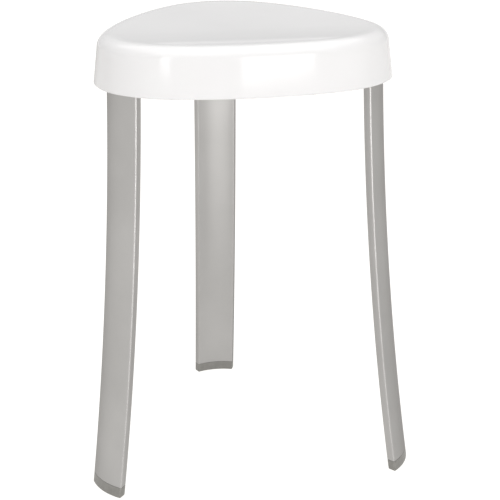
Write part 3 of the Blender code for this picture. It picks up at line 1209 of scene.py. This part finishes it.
@dataclass
class LegFixing:
    """What fixes a leg in its socket: two screws with washers, and two nuts in the leg's insert."""

    spacing: float = 0.022
    shank_radius: float = 0.00235
    screw_length: float = 0.012
    thread_pitch: float = 0.0008
    thread_depth: float = 0.0004
    thread_turns: int = 11
    head_radius: float = 0.00475
    head_height: float = 0.00275
    key_radius: float = 0.0017
    key_depth: float = 0.0016
    key_chamfer: float = 0.0002
    key_cone: float = 0.0006
    washer_radius: float = 0.005
    washer_bore: float = 0.0028
    washer_thickness: float = 0.001
    nut_corner: float = 0.0046
    nut_bore: float = 0.00265
    nut_thickness: float = 0.0027
    steps: int = 48
    dome_steps: int = 8

    def screw_mesh(self) -> bpy.types.Mesh:
        """A button-head screw with a hexagon key socket and a ridged shank. Its +Z runs to its tip.

        Returns:
            The mesh.
        """
        form = Form("socket_screw")
        profile = [(0.0, self.screw_length), (self.shank_radius - 0.0005, self.screw_length)]
        for i in range(self.thread_turns):
            crest = self.screw_length - 0.0006 - self.thread_pitch * i
            profile.append((self.shank_radius, crest))
            profile.append((self.shank_radius - self.thread_depth, crest - self.thread_pitch / 2))
        profile.append((self.shank_radius, 0.0006))
        profile.append((self.shank_radius, 0.0))
        profile.append((self.head_radius - 0.0002, 0.0))
        for i in range(self.dome_steps + 1):
            turn = math.pi / 2 * i / self.dome_steps
            radius = self.head_radius * 0.55 + self.head_radius * 0.45 * math.cos(turn)
            profile.append((radius, -0.0003 - (self.head_height - 0.0003) * math.sin(turn)))
        rings = [at_height(circle(r, self.steps) if r else [Vector()], z) for r, z in profile]
        face = -self.head_height
        rings.append(at_height(hexagon(self.key_radius + self.key_chamfer, self.steps), face))
        for depth in (self.key_chamfer, self.key_depth):
            rings.append(at_height(hexagon(self.key_radius, self.steps), face + depth))
        rings.append([Vector((0.0, 0.0, face + self.key_depth + self.key_cone))])
        form.skin(rings)
        return form.finish()

    def washer_mesh(self) -> bpy.types.Mesh:
        """A flat washer with broken edges.

        Returns:
            The mesh.
        """
        soft, thick = 0.00012, self.washer_thickness
        rim, bore = self.washer_radius, self.washer_bore
        loops = [(rim - soft, 0.0), (rim, soft), (rim, thick - soft), (rim - soft, thick)]
        loops += [(bore + soft, thick), (bore, thick - soft), (bore, soft), (bore + soft, 0.0)]
        form = Form("flat_washer")
        form.skin([at_height(circle(r, self.steps), z) for r, z in loops], endless=True)
        return form.finish()

    def nut_mesh(self) -> bpy.types.Mesh:
        """A hexagon nut with a chamfered bore.

        Returns:
            The mesh.
        """
        soft, thick = 0.0003, self.nut_thickness
        corner, bore = self.nut_corner, self.nut_bore
        flats = [(corner - soft, 0.0), (corner, soft)]
        flats += [(corner, thick - soft), (corner - soft, thick)]
        bores = ((bore + soft, thick), (bore, thick - soft), (bore, soft), (bore + soft, 0.0))
        rings = [at_height(hexagon(radius, self.steps), z) for radius, z in flats]
        rings += [at_height(circle(radius, self.steps), z) for radius, z in bores]
        form = Form("hexagon_nut")
        form.skin(rings, endless=True)
        return form.finish()

    def placing(self, leg: BentLeg, start: float, across: float) -> Matrix:
        """Where a fastener is in the leg frame.

        Args:
            leg: The leg that it holds.
            start: How far along the screw station's Y it starts.
            across: How far across the leg it is.

        Returns:
            A frame whose +Z runs outwards.
        """
        place = Matrix.Translation((across, start, 0.0))
        return leg.station(leg.screw_height) @ place @ Matrix.Rotation(-math.pi / 2, 4, "X")

    def build(self, stand: Stand, leg: BentLeg, nodes: Mapping[str, bpy.types.Object]) -> None:
        """Builds the fasteners, puts them on the stool and dresses the inserts.

        Args:
            stand: Where the stool stands.
            leg: The legs that they hold.
            nodes: The CAD nodes.
        """
        washer_start = leg.socket_face - leg.gap - self.washer_thickness
        bore_face = leg.arch_radius - leg.thickness + leg.wall
        nearest = self.spacing / 2 - self.nut_corner
        nut_start = math.sqrt(bore_face**2 - nearest**2) - leg.arch_radius + leg.gap
        kinds = (
            ("screw", self.screw_mesh(), washer_start - leg.gap),
            ("washer", self.washer_mesh(), washer_start),
            ("nut", self.nut_mesh(), nut_start),
        )
        for side in stand.angles:
            for kind, mesh, start in kinds:
                for letter, across in (("a", -self.spacing / 2), ("b", self.spacing / 2)):
                    frame = stand.leg_frame(side) @ self.placing(leg, start, across)
                    name = f"{side}_{kind}_{letter}"
                    place_piece(f"{name}_turned", mesh, Finish.STEEL, frame, [name])
            dress_node(nodes[f"{side}_leg_insert"], Finish.INSERT)


# ------------------------------------------------------------------ studio


@dataclass(frozen=True)
class SoftBox:
    """A rectangular soft light beside or above the stool.

    Its azimuth is in degrees from the front, its pitch in degrees down from level, and its radiance
    is that of its face.
    """

    name: str
    azimuth: float
    distance: float
    height: float
    pitch: float
    size: tuple[float, float]
    radiance: float

    def hang(self, axis: Vector) -> None:
        """Puts the light in the studio.

        Args:
            axis: Where the stool's axis meets the floor.
        """
        lamp = bpy.data.lights.new(self.name, "AREA")
        lamp.shape = "RECTANGLE"
        lamp.size, lamp.size_y = self.size
        lamp.energy = self.radiance * math.pi * self.size[0] * self.size[1]
        holder = bpy.data.objects.new(self.name, lamp)
        turn = Matrix.Rotation(math.radians(self.azimuth), 4, "Z")
        place = Matrix.Translation((0.0, -self.distance, self.height))
        tilt = Matrix.Rotation(math.radians(90 - self.pitch), 4, "X")
        holder.matrix_world = Matrix.Translation(axis) @ turn @ place @ tilt
        bpy.context.scene.collection.objects.link(holder)


@dataclass(frozen=True)
class DimSide:
    """A side on which the floor gives the stool less light.

    Its bearing is in degrees from the front, and its depth is the share of the light that is missing
    in its middle. It starts where the cosine of the angle to its bearing is start.
    """

    bearing: float
    depth: float
    start: float

    @property
    def direction(self) -> Vector:
        """The direction of the side from the stool."""
        turn = math.radians(self.bearing)
        return Vector((math.sin(turn), -math.cos(turn), 0.0))


@dataclass
class Studio:
    """A pale floor, an even surround, soft boxes and the camera.

    The floor glows by floor_glow, less near_shade inside near_reach from the axis, and less again on
    its dim sides. The surround fades from horizon to surround just over the floor's edge, and falls
    by right_fall towards +X.
    """

    horizon: float = 0.95
    surround: float = 0.585
    right_fall: float = 0.18
    floor_size: float = 30.0
    floor_albedo: Colour = (0.16, 0.16, 0.16)
    floor_mottle: Colour = (0.1576, 0.1576, 0.1576)
    floor_tint: Colour = (1.0, 0.985, 0.962)
    floor_glow: float = 0.87
    near_shade: float = 0.08
    near_reach: tuple[float, float] = (0.12, 0.35)
    dim_sides: tuple[DimSide, ...] = (
        DimSide(bearing=180.0, depth=0.45, start=0.8),
        DimSide(bearing=70.0, depth=0.15, start=0.8),
    )
    eye_distance: float = 1.3706
    eye_elevation: float = math.radians(20.07)
    eye_azimuth: float = math.radians(-10.16)
    eye_roll: float = math.radians(-0.49)
    aim_height: float = 0.2064
    lens: float = 95.16
    sensor: float = 36.0
    shift: tuple[float, float] = (0.0217, 0.0155)
    boxes: tuple[SoftBox, ...] = (
        SoftBox(
            "front_right_box",
            azimuth=17.0,
            distance=2.5,
            height=0.9,
            pitch=0.0,
            size=(1.2, 0.85),
            radiance=3.0,
        ),
        SoftBox(
            "front_left_strip",
            azimuth=-32.5,
            distance=2.5,
            height=1.2,
            pitch=0.0,
            size=(0.36, 1.4),
            radiance=3.3,
        ),
        SoftBox(
            "overhead_box",
            azimuth=0.0,
            distance=0.2,
            height=2.3,
            pitch=90.0,
            size=(3.2, 3.6),
            radiance=1.32,
        ),
        SoftBox(
            "low_front_reflector",
            azimuth=10.0,
            distance=2.0,
            height=0.13,
            pitch=0.0,
            size=(3.4, 0.22),
            radiance=5.4,
        ),
    )

    def floor_level(self, bench: PaintBench, axis: Vector) -> Signal:
        """How bright the floor is: white to the eye, but dimmer for the stool at the dim sides.

        Args:
            bench: The floor's material.
            axis: Where the stool's axis meets the floor.

        Returns:
            The floor's own light, from 0 to 1.
        """
        flat = bench.vector("SUBTRACT", bench.object_place(), axis).outputs["Vector"]
        towards = bench.vector("NORMALIZE", flat).outputs["Vector"]
        reach = Signal(bench, bench.vector("LENGTH", flat).outputs["Value"])
        # Painted shade in the floor's glow: darker within near_reach of the stool's feet, and darker
        # again on the dim sides, where the studio's light is made to fall off. The camera still sees
        # the floor white.
        away = reach.ramp(*self.near_reach)
        level = self.floor_glow * (1 - self.near_shade * (1 - away))
        for side in self.dim_sides:
            alike = bench.vector("DOT_PRODUCT", towards, side.direction).outputs["Value"]
            facing = Signal(bench, alike).ramp(side.start, 1.0)
            level = level * (1 - side.depth * facing * away)
        seen = bench.signal("ShaderNodeLightPath", output="Is Camera Ray")
        return level + seen * (1 - level)

    def lay_floor(self, axis: Vector) -> None:
        """Lays the floor, a matt pale sheet that glows a little as a lit sweep does.

        Args:
            axis: Where the stool's axis meets the floor.
        """
        bench = PaintBench("pale_floor")
        tone = bench.noise(bench.object_place(), 3.0, 2.0)
        colour = bench.blend(tone.ramp(0.3, 0.7), self.floor_albedo, self.floor_mottle)
        bench.feed(bench.shader, {"Base Color": colour, "Roughness": 0.9})
        bench.feed(bench.shader, {"Specular IOR Level": 0.0})
        glow = bench.blend(self.floor_level(bench, axis), BLACK, self.floor_tint)
        bench.feed(bench.shader, {"Emission Color": glow, "Emission Strength": 1.0})
        form = bmesh.new()
        bmesh.ops.create_grid(form, x_segments=12, y_segments=12, size=self.floor_size / 2)
        mesh = bpy.data.meshes.new("floor")
        form.to_mesh(mesh)
        form.free()
        mesh.materials.append(bench.material)
        floor = bpy.data.objects.new("floor", mesh)
        bpy.context.scene.collection.objects.link(floor)

    def light(self, target: Vector) -> None:
        """Lights the studio.

        Args:
            target: The point that the soft boxes face.
        """
        world = bpy.data.worlds.new("soft_surround")
        world.use_nodes = True
        bench = Bench(world.node_tree)
        direction = bench.node("ShaderNodeTexCoord").outputs["Generated"]
        rightwards, _, upwards = bench.split(direction)
        walls = upwards.ramp(0.0, 0.05)
        upper = self.surround * (1 - rightwards * self.right_fall)
        strength = self.horizon + walls * (upper - self.horizon)
        inputs = {"Color": (*WHITE, 1.0), "Strength": strength}
        glow = bench.node("ShaderNodeBackground", inputs=inputs)
        bench.node("ShaderNodeOutputWorld", inputs={"Surface": glow.outputs["Background"]})
        bpy.context.scene.world = world
        for box in self.boxes:
            box.hang(target)

    def set_camera(self, axis: Vector) -> None:
        """Sets the camera up.

        Args:
            axis: Where the stool's axis meets the floor.
        """
        azimuth, level = self.eye_azimuth, math.cos(self.eye_elevation)
        away = Vector((math.sin(azimuth) * level, -math.cos(azimuth) * level, 0.0))
        away.z = math.sin(self.eye_elevation)
        camera = bpy.data.cameras.new("camera")
        camera.lens, camera.sensor_width = self.lens, self.sensor
        camera.shift_x, camera.shift_y = self.shift
        holder = bpy.data.objects.new("camera", camera)
        aim = axis + Vector((0.0, 0.0, self.aim_height))
        turn = (-away).to_track_quat("-Z", "Y").to_matrix() @ Matrix.Rotation(self.eye_roll, 3, "Z")
        holder.matrix_world = Matrix.Translation(aim + away * self.eye_distance) @ turn.to_4x4()
        bpy.context.scene.collection.objects.link(holder)
        bpy.context.scene.camera = holder
        bpy.context.scene.view_settings.view_transform = "Standard"

    def build(self, stand: Stand) -> None:
        """Sets the studio up round the stool.

        Args:
            stand: Where the stool stands.
        """
        self.lay_floor(stand.axis)
        self.light(stand.axis)
        self.set_camera(stand.axis)


def main() -> None:
    """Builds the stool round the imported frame."""
    logging.basicConfig(level=logging.INFO, format="%(name)s: %(message)s")
    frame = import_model()
    stand = Stand.from_record(frame["record"])
    leg = BentLeg()
    SeatShell().build(stand, leg)
    leg.build(stand)
    LegFixing().build(stand, leg, frame["nodes"])
    Studio().build(stand)


if __name__ == "__main__":
    main()
